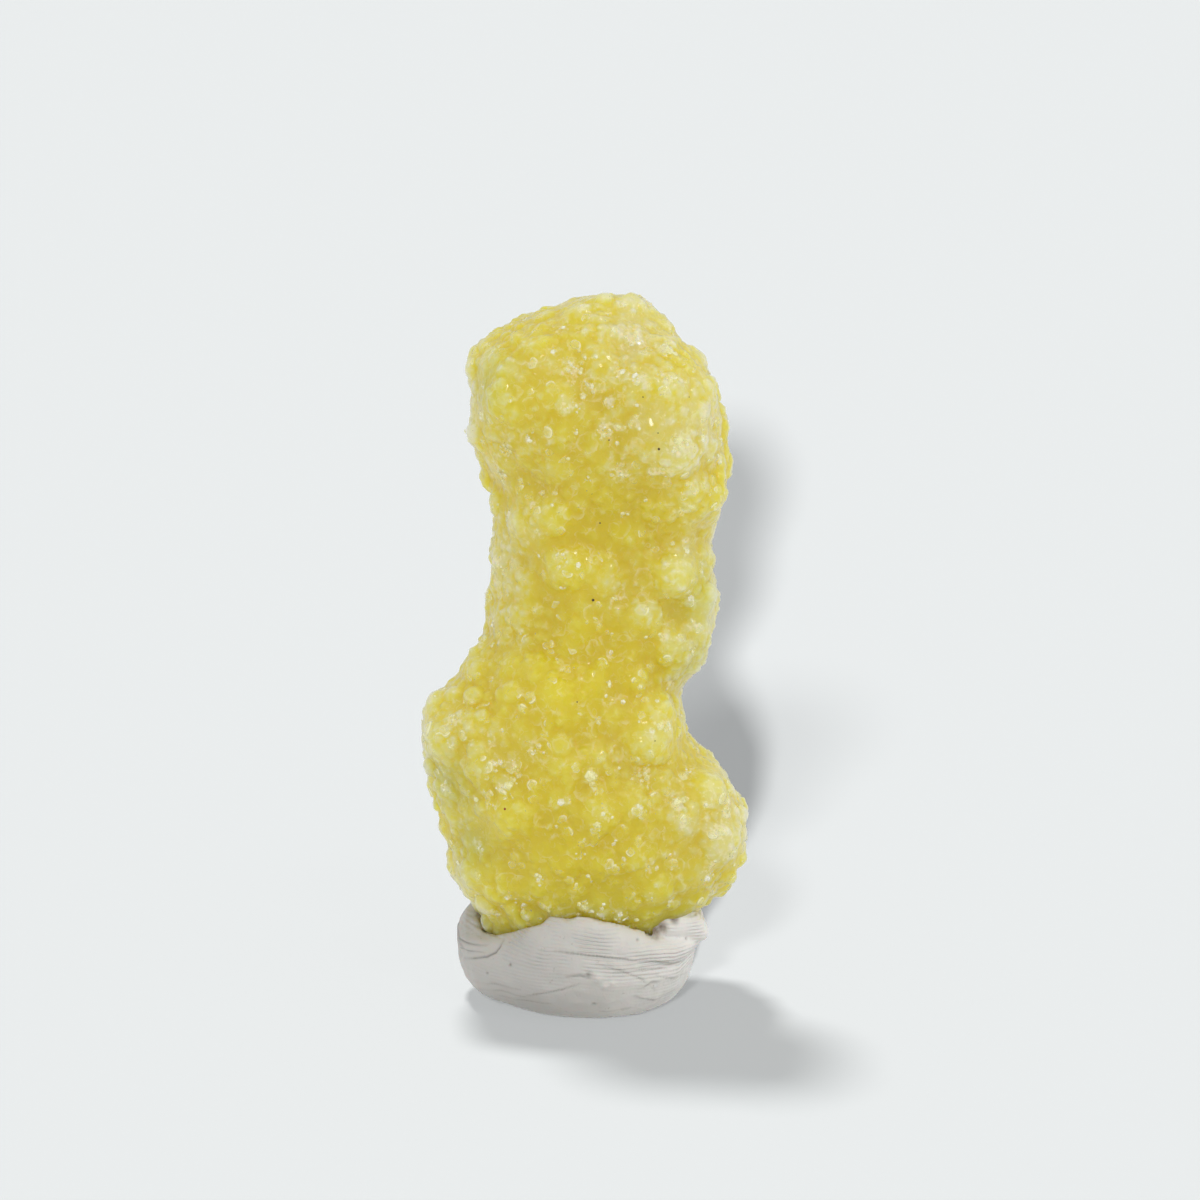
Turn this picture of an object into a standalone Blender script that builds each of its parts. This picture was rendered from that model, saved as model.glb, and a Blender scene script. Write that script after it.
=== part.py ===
"""A finger of botryoidal yellow brucite, standing in a pressed lump of white mounting putty.

Two solids: brucite, the mineral with all its grown-together lumps, and putty_base, the lump that holds it
up. The origin is the centre of the putty's flat underside, +Z is up and -Y is the side that shows best.
Run it with: blender --background --python part.py
"""

import math
import random
from itertools import accumulate

import bmesh
import bpy
from mathutils import Vector
from mathutils.bvhtree import BVHTree

MM = 0.001

# ---- the brucite's core, in mm: height, middle x, middle y, half width, half depth -----------------------
CORE = (
    (3.8, -1.4, 0.2, 5.0, 4.4),
    (4.6, -1.4, 0.2, 8.6, 7.0),
    (7.0, -1.3, 0.2, 11.2, 8.6),
    (10.2, -0.9, 0.2, 12.4, 9.2),
    (12.8, 1.0, 0.2, 14.6, 10.2),
    (16.0, 0.5, 0.0, 17.4, 11.2),
    (21.5, 0.8, -0.2, 18.2, 12.4),
    (27.0, -0.4, -0.4, 18.0, 12.8),
    (29.6, -1.6, -0.4, 17.8, 12.8),
    (32.5, -3.4, -0.2, 16.6, 12.4),
    (36.0, -4.6, 0.0, 15.8, 11.6),
    (40.5, -2.8, 0.4, 14.2, 10.6),
    (44.5, -0.4, 0.8, 13.8, 9.8),
    (48.5, 1.4, 1.0, 13.2, 9.2),
    (54.0, 1.8, 1.0, 13.9, 9.0),
    (58.2, 1.5, 1.2, 13.0, 8.8),
    (62.0, 2.0, 1.2, 13.9, 9.0),
    (67.0, 3.0, 0.8, 14.0, 9.6),
    (70.0, 2.4, 0.4, 14.6, 10.2),
    (74.0, 1.5, 0.2, 14.8, 10.6),
    (80.0, 0.8, 0.2, 14.0, 10.2),
    (83.2, -0.9, 0.4, 12.2, 9.2),
    (85.0, -0.3, 0.5, 10.2, 8.2),
    (86.8, 1.4, 0.5, 8.2, 6.2),
    (89.0, 2.9, 0.6, 3.8, 3.4),
)
CORE_SIDES = 72
CORE_RINGS = 90

# ---- broad lobes that swell out of the core, in mm: centre x, y, z and radii x, y, z ---------------------
LOBES = {
    "crown": (2.9, 0.0, 82.6, 5.4, 6.6, 7.0),
    "head_front": (8.6, -3.4, 75.0, 7.0, 8.8, 10.0),
    "head_left": (-7.4, -2.2, 77.6, 6.4, 8.0, 6.4),
    "head_corner": (-13.0, 0.2, 81.2, 2.2, 3.4, 2.4),
    "cheek_left": (-11.2, 0.4, 73.4, 3.4, 5.2, 3.0),
    "head_back": (4.0, 4.4, 77.0, 8.4, 7.6, 9.0),
    "cheek_back": (-7.0, 4.2, 71.0, 6.6, 6.6, 8.0),
    "column_right": (11.2, -1.2, 66.6, 5.4, 7.8, 6.4),
    "column_front": (-4.4, -3.0, 62.8, 4.6, 6.0, 4.4),
    "column_knot": (-1.2, -3.6, 56.4, 5.2, 6.0, 4.2),
    "column_back": (3.0, 5.2, 60.0, 8.4, 6.0, 8.6),
    "neck_right": (10.6, -2.2, 56.0, 4.6, 6.4, 4.0),
    "neck_edge": (13.0, -0.4, 52.0, 3.2, 5.4, 3.8),
    "neck_front": (6.8, -3.0, 50.6, 3.4, 6.0, 3.4),
    "neck_back": (-4.8, 4.4, 49.0, 7.6, 6.4, 7.4),
    "waist_right": (10.4, -1.4, 47.0, 4.6, 6.8, 4.0),
    "mantle": (-3.4, -4.4, 39.6, 9.4, 7.8, 7.2),
    "mantle_right": (6.2, -3.6, 36.4, 5.2, 8.0, 6.2),
    "mantle_back": (2.0, 5.8, 37.0, 9.0, 6.8, 8.4),
    "flank_left": (-14.6, -1.6, 35.0, 6.2, 8.0, 6.0),
    "flank_knot": (-9.4, -6.6, 27.6, 4.8, 5.6, 4.8),
    "flank_low": (-14.8, 0.0, 27.0, 4.4, 6.8, 5.0),
    "flank_back": (-9.6, 5.6, 27.4, 7.2, 6.8, 7.6),
    "belly": (1.0, -5.0, 27.4, 8.4, 8.2, 6.6),
    "knob_right": (15.2, -1.6, 22.2, 4.6, 7.2, 6.6),
    "knob_top": (13.4, -3.2, 28.2, 4.2, 6.6, 3.6),
    "knob_back": (9.8, 6.0, 23.6, 7.6, 6.6, 7.4),
    "foot_left": (-10.0, -1.0, 18.0, 7.0, 9.0, 5.0),
    "foot_right": (6.0, -2.6, 17.0, 9.0, 8.8, 5.6),
}
LOBE_BLEND_STEPS = 18

# ---- single lumps that stand out on the front: x, z and diameter, in mm ----------------------------------
FRONT_LUMPS = (
    (-13.8, 37.6, 5.2),
    (-12.8, 32.6, 5.2),
    (-9.0, 27.2, 6.8),
    (-18.4, 35.0, 5.0),
    (-17.8, 28.6, 5.0),
    (-2.6, 33.6, 5.4),
    (1.0, 34.2, 5.0),
    (8.0, 35.4, 6.0),
    (11.6, 26.0, 6.0),
    (16.4, 22.6, 6.2),
    (15.6, 28.8, 5.2),
    (1.4, 27.4, 6.0),
    (-2.6, 57.6, 5.6),
    (2.0, 56.0, 5.2),
    (-4.2, 63.8, 5.2),
    (6.8, 51.2, 5.0),
    (13.8, 52.4, 5.0),
    (10.4, 56.6, 5.6),
    (11.0, 71.4, 6.0),
    (6.0, 79.4, 5.6),
    (9.6, 79.6, 5.0),
    (-3.4, 74.4, 5.2),
    (5.6, 43.4, 5.2),
    (-4.0, 42.4, 5.2),
)

# ---- lumps scattered over all sides ------------------------------------------------------------------------
LUMP_COUNT = 340
LUMP_DIAMETERS = (2.8, 5.0)
LUMP_SPACING = 0.72  # least distance between two lumps' centres, in mean diameters
LUMP_SUNK = 0.5  # how far a lump's centre lies under the lobes' surface, in radii
LUMP_SEED = 31
ROOT_TOP = 9.0  # below this height the brucite is hidden in the putty and has no lumps

FUSE_LOBES = 1.0  # grain of the skin that joins the lobes, in mm
FUSE_LUMPS = 0.55  # and of the one that joins the lumps to them
BRUCITE_TRIANGLES = 6900

# ---- the putty, in mm: height, then how far it reaches left, right, front and back ------------------------
PUTTY_OUTSIDE = (
    (0.0, 9.6, 10.4, 9.6, 9.6),
    (0.5, 12.0, 11.5, 10.9, 10.8),
    (1.4, 14.0, 12.2, 11.8, 11.8),
    (3.0, 15.8, 12.8, 12.7, 12.8),
    (5.0, 16.6, 13.3, 13.2, 13.3),
    (7.0, 16.8, 13.9, 13.0, 13.4),
    (9.0, 16.6, 15.0, 12.4, 13.1),
    (10.8, 15.6, 14.7, 11.5, 12.5),
    (11.6, 14.4, 13.6, 10.6, 11.6),
)
PUTTY_INSIDE = (
    (11.0, 13.5, 12.6, 9.6, 10.6),
    (8.8, 12.4, 11.4, 8.6, 9.4),
    (5.0, 8.0, 7.0, 6.0, 6.0),
)
RIM_HEIGHT = 11.6  # of the tables above; RIM_HEIGHTS gives the real one all round
RIM_HEIGHTS = (  # direction in degrees from +X, counter-clockwise seen from above, and height in mm
    (0, 11.0),
    (50, 11.4),
    (100, 12.0),
    (150, 12.2),
    (185, 11.6),
    (225, 11.0),
    (258, 13.4),
    (284, 13.0),
    (316, 10.4),
)
LEVEL_BELOW = 5.0  # up to this height the tables hold all round, and above it they follow the rim
RING_STEP = 0.85  # height from one ring of the putty to the next
PUTTY_SIDES = 60
# Grooves pressed into the side: heights at their start and end, in mm, from and to direction, in degrees,
# depth and half width in mm
FOLD = (9.2, 6.4, 250, 356, 0.7, 0.9)
CRACK = (10.4, 5.6, 224, 186, 0.6, 0.9)
SOCKET_GAP = 0.7  # how much wider than the brucite its socket is, all round
SOCKET_GRAIN = 0.6
SOCKET_TRIANGLES = 6000


def clear_scene():
    for obj in list(bpy.data.objects):
        bpy.data.objects.remove(obj, do_unlink=True)


def new_object(name, bm):
    mesh = bpy.data.meshes.new(name)
    bm.to_mesh(mesh)
    bm.free()
    mesh.shade_smooth()
    obj = bpy.data.objects.new(name, mesh)
    bpy.context.scene.collection.objects.link(obj)
    return obj


def applied(obj):
    """Replaces obj's mesh by what its modifiers make of it."""
    graph = bpy.context.evaluated_depsgraph_get()
    mesh = bpy.data.meshes.new_from_object(obj.evaluated_get(graph))
    obj.modifiers.clear()
    obj.data = mesh
    mesh.shade_smooth()
    return obj


def fused(obj, voxel):
    """Makes one closed skin of the overlapping bodies in obj."""
    remesh = obj.modifiers.new("fuse", "REMESH")
    remesh.mode = "VOXEL"
    remesh.voxel_size = voxel * MM
    return applied(obj)


def thinned(obj, triangles):
    obj.data.calc_loop_triangles()
    thin = obj.modifiers.new("thin", "DECIMATE")
    thin.ratio = triangles / len(obj.data.loop_triangles)
    thin.use_collapse_triangulate = True
    return applied(obj)


def material(name, colour, roughness):
    made = bpy.data.materials.new(name)
    made.use_nodes = True
    shader = made.node_tree.nodes["Principled BSDF"]
    shader.inputs["Base Color"].default_value = (*colour, 1.0)
    shader.inputs["Roughness"].default_value = roughness
    return made


def between(rows, at):
    """The row of numbers at this first value, on a smooth curve through rows."""
    last = len(rows) - 1
    i = max(0, min(last - 1, sum(row[0] <= at for row in rows) - 1))
    before, start, end, after = (rows[max(0, min(last, k))] for k in (i - 1, i, i + 1, i + 2))
    t = (at - start[0]) / (end[0] - start[0])
    found = []
    for a, b, c, d in zip(before[1:], start[1:], end[1:], after[1:]):
        rise_in, rise_out = (c - a) / 2, (d - b) / 2
        curve = (2 * t**3 - 3 * t**2 + 1) * b + (t**3 - 2 * t**2 + t) * rise_in
        found.append(curve + (3 * t**2 - 2 * t**3) * c + (t**3 - t**2) * rise_out)
    return found


def add_rings(bm, rings):
    """Adds the closed surface through rings of points, with a flat cap on the first and the last."""
    loops = [[bm.verts.new(p * MM) for p in ring] for ring in rings]
    for low, high in zip(loops, loops[1:]):
        for i, vert in enumerate(low):
            j = (i + 1) % len(low)
            bm.faces.new((vert, low[j], high[j], high[i]))
    bm.faces.new(reversed(loops[0]))
    bm.faces.new(loops[-1])


def add_ball(bm, centre, radii, subdivisions):
    """Adds an ellipsoid with this centre and these three radii."""
    made = bmesh.ops.create_icosphere(bm, subdivisions=subdivisions, radius=1.0)
    for vert in made["verts"]:
        vert.co = Vector(c + r * p for c, r, p in zip(centre, radii, vert.co)) * MM


# ---- brucite -----------------------------------------------------------------------------------------------


def core_ring(height):
    x, y, half_width, half_depth = between(CORE, height)
    turns = [math.tau * i / CORE_SIDES for i in range(CORE_SIDES)]
    return [Vector((x + half_width * math.cos(t), y + half_depth * math.sin(t), height)) for t in turns]


def lobes():
    """The core and its broad lobes, run softly into one another."""
    low, high = CORE[0][0], CORE[-1][0]
    bm = bmesh.new()
    add_rings(bm, [core_ring(low + (high - low) * i / CORE_RINGS) for i in range(CORE_RINGS + 1)])
    for x, y, z, *radii in LOBES.values():
        add_ball(bm, (x, y, z), radii, 4)
    obj = fused(new_object("lobes", bm), FUSE_LOBES)
    smooth = obj.modifiers.new("blend", "SMOOTH")
    smooth.factor = 0.5
    smooth.iterations = LOBE_BLEND_STEPS
    return applied(obj)


def surface_points(obj, rng):
    """Endless random points on obj's surface, evenly by area, each with its normal, in mm."""
    mesh = obj.data
    mesh.calc_loop_triangles()
    triangles = list(mesh.loop_triangles)
    area_so_far = list(accumulate(t.area for t in triangles))
    while True:
        for triangle in rng.choices(triangles, cum_weights=area_so_far, k=512):
            a, b, c = (mesh.vertices[i].co / MM for i in triangle.vertices)
            u, v = rng.random(), rng.random()
            if u + v > 1:
                u, v = 1 - u, 1 - v
            yield a + (b - a) * u + (c - a) * v, triangle.normal.copy()


def front_lumps(obj):
    """(centre, radius) of each of FRONT_LUMPS, seated on obj's front."""
    tree = BVHTree.FromObject(obj, bpy.context.evaluated_depsgraph_get())
    seated = []
    for x, z, diameter in FRONT_LUMPS:
        hit, normal, _, _ = tree.ray_cast(Vector((x, -60.0, z)) * MM, Vector((0, 1, 0)))
        if hit is None:
            hit, normal, _, _ = tree.find_nearest(Vector((x, 0, z)) * MM)
        radius = diameter / 2
        seated.append((hit / MM - normal * radius * LUMP_SUNK, radius))
    return seated


def scattered_lumps(obj, placed):
    """The lumps already placed, and LUMP_COUNT more wherever obj has room for them."""
    rng = random.Random(LUMP_SEED)
    points = surface_points(obj, rng)
    lumps = list(placed)
    for _ in range(LUMP_COUNT * 30):
        if len(lumps) >= LUMP_COUNT + len(placed):
            break
        point, normal = next(points)
        radius = rng.uniform(*LUMP_DIAMETERS) / 2
        centre = point - normal * radius * LUMP_SUNK
        clear = all((centre - c).length > LUMP_SPACING * (radius + r) for c, r in lumps)
        if clear and centre.z > ROOT_TOP + radius:
            lumps.append((centre, radius))
    return lumps


def brucite():
    body = lobes()
    bm = bmesh.new()
    bm.from_mesh(body.data)
    for centre, radius in scattered_lumps(body, front_lumps(body)):
        add_ball(bm, centre, (radius,) * 3, 3)
    bpy.data.objects.remove(body)
    obj = thinned(fused(new_object("brucite", bm), FUSE_LUMPS), BRUCITE_TRIANGLES)
    obj.data.materials.append(material("brucite", (0.66, 0.50, 0.06), 0.35))
    return obj


# ---- putty -------------------------------------------------------------------------------------------------


def rim_height(turn):
    degrees = math.degrees(turn) % 360
    first, last = RIM_HEIGHTS[0], RIM_HEIGHTS[-1]
    all_round = ((last[0] - 360, last[1]), *RIM_HEIGHTS, (first[0] + 360, first[1]))
    return between(all_round, degrees)[0]


def groove(turn, height, line):
    """How deep a groove is at this direction and height."""
    start_height, end_height, start, end, depth, half_width = line
    along = (math.degrees(turn) % 360 - start) / (end - start)
    if not 0 < along < 1:
        return 0.0
    off = abs(height - start_height - (end_height - start_height) * along) / half_width
    return depth * max(0.0, 1 - off) * math.sin(math.pi * along) ** 0.5


def putty_ring(level):
    """One ring of the putty: an oval with its own reach to the left, right, front and back."""
    height, left, right, front, back = level
    points = []
    for i in range(PUTTY_SIDES):
        turn = math.tau * i / PUTTY_SIDES
        inward = 1 - (groove(turn, height, FOLD) + groove(turn, height, CRACK)) / right
        x = math.cos(turn) * (right if math.cos(turn) > 0 else left) * inward
        y = math.sin(turn) * (back if math.sin(turn) > 0 else front) * inward
        share = max(0.0, (height - LEVEL_BELOW) / (RIM_HEIGHT - LEVEL_BELOW))
        points.append(Vector((x, y, height + share * (rim_height(turn) - RIM_HEIGHT))))
    return points


def putty_levels():
    """The tables' levels, with more rings between the flat underside's edge and the rim."""
    foot, *_, rim = PUTTY_OUTSIDE
    edge = PUTTY_OUTSIDE[1][0]
    count = round((rim[0] - edge) / RING_STEP)
    heights = [edge + (rim[0] - edge) * i / count for i in range(count)]
    side = [(height, *between(PUTTY_OUTSIDE, height)) for height in heights]
    return [foot, *side, rim, *PUTTY_INSIDE]


def socket_cutter(stone):
    """A slightly larger copy of the stone's root, in one simple skin."""
    obj = bpy.data.objects.new("socket_cutter", stone.data.copy())
    bpy.context.scene.collection.objects.link(obj)
    swell = obj.modifiers.new("swell", "DISPLACE")
    swell.mid_level = 0.0
    swell.strength = SOCKET_GAP * MM
    fused(obj, SOCKET_GRAIN)
    thinned(obj, SOCKET_TRIANGLES)
    obj.hide_render = True
    obj.display_type = "WIRE"
    return obj


def putty_base(stone):
    bm = bmesh.new()
    add_rings(bm, [putty_ring(level) for level in putty_levels()])
    obj = new_object("putty_base", bm)
    obj.data.set_sharp_from_angle(angle=math.radians(40))
    socket = obj.modifiers.new("socket", "BOOLEAN")
    socket.operation = "DIFFERENCE"
    socket.object = socket_cutter(stone)
    obj.data.materials.append(material("putty", (0.62, 0.60, 0.56), 0.6))
    return obj


def main():
    clear_scene()
    putty_base(brucite())


main()
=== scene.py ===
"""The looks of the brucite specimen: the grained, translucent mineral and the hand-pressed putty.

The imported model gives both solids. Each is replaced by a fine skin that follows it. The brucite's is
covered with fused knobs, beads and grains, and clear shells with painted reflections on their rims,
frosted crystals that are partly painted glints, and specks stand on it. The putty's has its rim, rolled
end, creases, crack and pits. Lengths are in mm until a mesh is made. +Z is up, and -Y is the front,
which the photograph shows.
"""

import math

import bmesh
import bpy
import numpy as np
from mathutils import Matrix, Vector, bvhtree, kdtree, noise


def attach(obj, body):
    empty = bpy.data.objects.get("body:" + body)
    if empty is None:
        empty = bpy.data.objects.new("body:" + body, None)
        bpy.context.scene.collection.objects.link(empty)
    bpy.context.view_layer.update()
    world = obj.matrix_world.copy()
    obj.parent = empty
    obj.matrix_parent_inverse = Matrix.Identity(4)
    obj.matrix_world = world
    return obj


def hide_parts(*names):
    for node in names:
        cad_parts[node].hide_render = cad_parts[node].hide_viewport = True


MM = 0.001
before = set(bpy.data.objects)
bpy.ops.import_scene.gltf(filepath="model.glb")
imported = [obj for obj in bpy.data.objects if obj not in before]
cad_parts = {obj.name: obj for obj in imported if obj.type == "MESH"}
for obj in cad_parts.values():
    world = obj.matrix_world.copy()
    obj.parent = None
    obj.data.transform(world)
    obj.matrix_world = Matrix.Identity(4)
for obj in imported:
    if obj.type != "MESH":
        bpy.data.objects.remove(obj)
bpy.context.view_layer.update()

# ---- camera --------------------------------------------------------------------------------------
PICTURE = 1200  # pixels across the square picture
CAMERA_TARGET = (1.5, 0.0, 51.5)
CAMERA_DISTANCE = 416.2
CAMERA_ELEVATION = 12.0
CAMERA_LENS = 100.0
CAMERA_SENSOR = 36.0
PIXELS_A_MM = PICTURE * CAMERA_LENS / CAMERA_SENSOR / CAMERA_DISTANCE

# ---- brucite: sizes in mm ------------------------------------------------------------------------
CORE_GRAIN = 0.5  # voxel of the solid before it is smoothed
CORE_SMOOTHING = 9
CORE_SWELL = 0.15  # the core stands this far out of the CAD solid, whose corners it rounds off
CORE_FINISH = 4  # smoothing of the fine skin
SKIN_GRAIN = 0.26  # voxel of the skin that the bodies are raised from
SKIN_TRIANGLES = 192000
ROOT_TOP = 8.0  # nothing grows on the core below this height, inside the putty

# Bodies raised from the core: how many, their least and greatest radius, the least distance between two in
# mean radii, how high they rise in radii, and the share that has flat faces
KNOBS = dict(count=300, radii=(1.8, 3.2), spacing=0.85, rise=(0.03, 0.1), flat=0.0)
BEADS = dict(count=5000, radii=(0.5, 1.25), spacing=0.62, rise=(0.16, 0.5), flat=0.35)
GRAINS = dict(count=6000, radii=(0.36, 0.62), spacing=0.75, rise=(0.2, 0.6), flat=0.6)
SHELL_COUNT = 900  # the largest bodies have clear shells
CORE_SHARE = 0.85  # of a body's radius that the skin fills, under its clear shell
SKIN_SOFTENING = 1
DOME_WIDTH = (0.75, 1.0)  # of a round body, across its longer way
# A flat body's face: how much it leans, its share of the height, how uneven its sides' directions are, how
# far out they stand in radii, and how steep they are
FACE_LEAN = 0.5
FACE_TOP = 0.85
FACE_SKEW = 0.2
FACE_REACH = (0.75, 0.95)
FACE_STEEP = (1.2, 2.5)
TRIES = 6  # places that are tried for each body
SMALLER = 1.7  # above 1, more of the bodies are small
# Beads and grains are fewer or lower in some places: the size of the places, the seed of their pattern, how
# it is scaled and shifted, and the least share
BEADY_PLACES = (7.0, 8.0, 3.0, -0.7, 0.25)
ROUGH_PLACES = (6.0, 5.0, 1.8, -0.4, 0.15)
ROOT_FADE = 2.0  # bodies reach their full height this far above ROOT_TOP

# The clear shells of the bodies: how deep their middles lie in radii, how many flat faces cut each, and how
# finely each is made
SHELLS = dict(depth=0.72, cuts=5, subdivisions=2)
# Small bright crystals in the frosted places, partly painted glints, and their seeds, about 900 of which
# find room
GRITS = dict(depth=0.3, cuts=2, subdivisions=1)
GRIT_SEEDS = dict(count=5000, radii=(0.16, 0.45), spacing=0.5)
GRIT_REACH = 0.8  # of a frosted place's radius
SHELL_FOOT = -0.25  # a shell ends this far below its middle, in radii
SHELL_LIFT = 0.5  # a body's shell is lifted by this share of the skin's rise
SHELL_STRETCH = (0.8, 1.1)  # its radii sideways, least and greatest
SHELL_CUTS = (0.7, 0.98)  # how far from its middle the faces cut it, in radii
MILKINESS = 0.8  # how milky shells are by chance, at most
FROST_MILK = 0.7  # and how much more on a frosted place
CRYSTAL_ANGLE = 30  # degrees between faces that meet in a sharp edge

# Beads that show on the front: the pixel of the middle, the radius and how high it rises in radii
BEAD_SPOTS = (
    (475, 697, 1.9, 0.75), (482, 716, 1.1, 0.7), (445, 731, 1.3, 0.4), (511, 692, 1.7, 0.45),
    (477, 750, 1.7, 0.6), (560, 744, 1.9, 0.5), (505, 785, 1.7, 0.6), (518, 765, 1.0, 0.4),
    (447, 790, 1.1, 0.4), (490, 795, 1.2, 0.3), (590, 776, 1.3, 0.6), (630, 894, 1.1, 0.4),
    (638, 902, 0.7, 0.5), (658, 884, 0.8, 0.5), (645, 915, 0.8, 0.6), (636, 842, 1.5, 0.3),
    (565, 405, 1.7, 0.5), (610, 402, 1.0, 0.6), (665, 352, 1.6, 0.5), (705, 410, 1.6, 0.3),
    (472, 368, 1.6, 0.6), (475, 432, 1.8, 0.5), (495, 499, 1.2, 0.5), (494, 532, 1.3, 0.5),
    (494, 587, 1.4, 0.6), (476, 654, 1.4, 0.4), (452, 693, 1.4, 0.5), (430, 731, 1.9, 0.8),
    (433, 766, 1.7, 0.8), (440, 804, 1.3, 0.6), (453, 845, 1.2, 0.5), (456, 881, 1.3, 0.5),
    (547, 316, 1.4, 0.6), (506, 336, 1.2, 0.4), (605, 299, 1.5, 0.5), (717, 427, 1.4, 0.5),
    (720, 478, 1.3, 0.6), (714, 506, 1.2, 0.5), (710, 592, 1.5, 0.8), (706, 640, 1.4, 0.5),
    (727, 788, 1.4, 0.5), (741, 813, 1.6, 0.7), (741, 834, 1.4, 0.7), (731, 878, 1.3, 0.5),
    (486, 903, 2.0, 0.7), (489, 924, 2.2, 0.9), (512, 908, 1.3, 0.5), (528, 914, 1.1, 0.5),
    (547, 904, 1.3, 0.4), (585, 906, 1.2, 0.5), (603, 912, 1.1, 0.5), (620, 916, 1.2, 0.6),
)
# Bright white crystals that show on the front, partly painted glints: the pixel of the middle and the
# radius
WHITE_GLINT_SPOTS = (
    (664, 345, 0.5), (669, 351, 0.8), (675, 354, 0.5), (635, 376, 0.6), (638, 383, 0.4), (622, 372, 0.5),
    (617, 377, 0.3), (592, 386, 0.5), (593, 392, 0.4), (583, 396, 0.5), (637, 405, 0.35), (636, 416, 0.3),
    (618, 427, 0.4), (617, 443, 0.35), (678, 441, 0.7), (680, 448, 0.5), (686, 443, 0.4), (703, 440, 0.35),
    (596, 357, 0.4), (543, 493, 0.5), (552, 505, 0.35), (578, 565, 0.5), (567, 562, 0.3), (687, 551, 0.45),
    (691, 598, 0.5), (646, 637, 0.4), (609, 684, 0.6), (606, 696, 0.35), (640, 687, 0.5), (623, 702, 0.4),
    (657, 701, 0.4), (692, 652, 0.6), (673, 543, 0.35), (590, 776, 0.9), (592, 784, 0.5), (597, 825, 0.6),
    (561, 802, 0.6), (676, 802, 0.9), (683, 800, 0.5), (641, 807, 0.4), (706, 805, 0.4), (687, 773, 0.5),
    (722, 832, 0.7), (715, 861, 0.4), (508, 786, 0.7), (504, 792, 0.5), (513, 779, 0.5), (619, 768, 0.3),
    (588, 876, 0.4), (624, 859, 0.4), (660, 726, 0.7), (652, 731, 0.5), (585, 907, 0.6), (579, 904, 0.4),
    (592, 911, 0.4),
)
# Frosted places on the front, partly painted glints: the pixel of the middle and the radius
FROST_AND_GLINT_SPOTS = (
    (590, 776, 1.0), (675, 803, 1.2), (567, 801, 0.8), (597, 825, 0.8), (640, 807, 0.6), (690, 770, 0.9),
    (720, 830, 1.1), (713, 862, 0.6), (508, 787, 1.6), (515, 765, 1.2), (447, 785, 1.1), (492, 743, 0.5),
    (472, 741, 0.4), (503, 730, 0.5), (478, 800, 0.7), (575, 372, 2.0), (593, 388, 1.0), (637, 380, 1.0),
    (665, 350, 1.3), (678, 443, 1.4), (668, 380, 1.1), (612, 402, 1.0), (565, 407, 1.2), (623, 427, 0.6),
    (640, 428, 0.5), (585, 907, 1.6), (618, 914, 1.6), (520, 905, 1.4), (495, 910, 1.2), (560, 915, 0.9),
    (487, 922, 1.4), (510, 897, 1.0), (528, 914, 1.0), (547, 904, 1.3), (600, 911, 1.2), (632, 918, 1.0),
)
# Specks caught in the mineral: the pixel of the middle and the radius
RED_SPECKS = ((505, 809, 0.2),)
DARK_SPECKS = (
    (593, 600, 0.22), (600, 523, 0.13), (659, 449, 0.2), (609, 440, 0.12), (658, 433, 0.1),
    (643, 397, 0.11), (689, 397, 0.1), (620, 473, 0.1), (577, 702, 0.12), (655, 741, 0.1),
)
OTHER_FROST = dict(count=260, radii=(0.4, 1.6), spacing=3.0)  # frosted places elsewhere
# Wide pale zones of painted light, shining through the mineral's flanks and edges: middle and radius
PALE_LIGHT_ZONES = (
    (13, -7, 76, 8), (7, -8, 87, 6), (-15, -2, 77, 8), (-14, -4, 58, 8), (15, -3, 54, 9), (14, -2, 40, 6),
    (-19, -4, 32, 7), (18, -4, 24, 7), (-10, -12, 84, 5), (-12, -11, 57, 5), (0, -18, 80, 6),
    (-15, -3, 15, 5), (0, 11, 70, 8), (4, 11, 30, 8),
)
# Wide golden zones of painted shade, deeper in the hollows
GOLDEN_SHADE_ZONES = ((2, -9, 64, 5), (1, -10, 45, 7), (-2, -11, 18, 9), (-2, 10, 50, 7), (-6, 10, 15, 6))
# Greener zones of painted shade, darker
GREEN_SHADE_ZONES = (
    (-17.5, -7, 30, 5), (-15, -8, 22, 4), (14, -5, 53, 4.5), (13, -5, 45, 4), (-12, -7, 80, 4),
    (6, 11, 45, 6),
)
CLOUDS = ((9.0, 1.0, 0.6), (3.0, 2.0, 0.4))  # size, seed and weight of the patches of milkiness
# How far a point stands out is measured three times: the attribute's name, how widely the surroundings are
# averaged, and the depth that makes the whole range
RELIEFS = (("rise", 5, 0.5), ("knob", 22, 1.2), ("lump", 80, 3.0))

# ---- putty: sizes in mm --------------------------------------------------------------------------
PUTTY_GRAIN = 0.19
PUTTY_SMOOTHING = 8
PUTTY_TRIANGLES = 190000
PUTTY_MIDDLE = (0.0, 0.0)
PUTTY_WAVES = ((6.0, 4.0, 0.5), (1.6, 6.0, 0.16))  # size, seed and height of its unevenness
HUG_REACH = 1.6  # the wall is drawn on to the brucite where it is nearer than this
HUG_BOTTOM = 7.5  # and above this height
HUG_OVERLAP = 0.15  # and goes this far into it
HUG_FADE = 0.5  # in full this far above HUG_BOTTOM
DRAWN = 0.2  # what was drawn this far is softened in full
DRAWN_SOFTENING = 6
RIM_SOFTENING = 30
RIM_FOOT = 5.0  # the wall is stretched or pressed down to the rim's line, not at all below this height
RIM_TOP = 11.0  # and in full above this one
RIM_BACK = 2.0  # not at all behind this Y
RIM_FADE = 4.0  # and in full this far in front of it
RIM_ROWS = (895, 950, 0.5)  # the rows of pixels that are searched for the rim: first, last and step
# Pixels that the front rim passes through
RIM_LINE = (
    (456, 926), (466, 929), (485, 934), (503, 934), (515, 931), (530, 926), (545, 920), (560, 917),
    (578, 916), (590, 918), (605, 921), (620, 925), (635, 931), (645, 934),
)
POCKET = (656, 930, 1.5)  # pixel and radius of the hollow where the wall stays clear of the brucite

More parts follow.
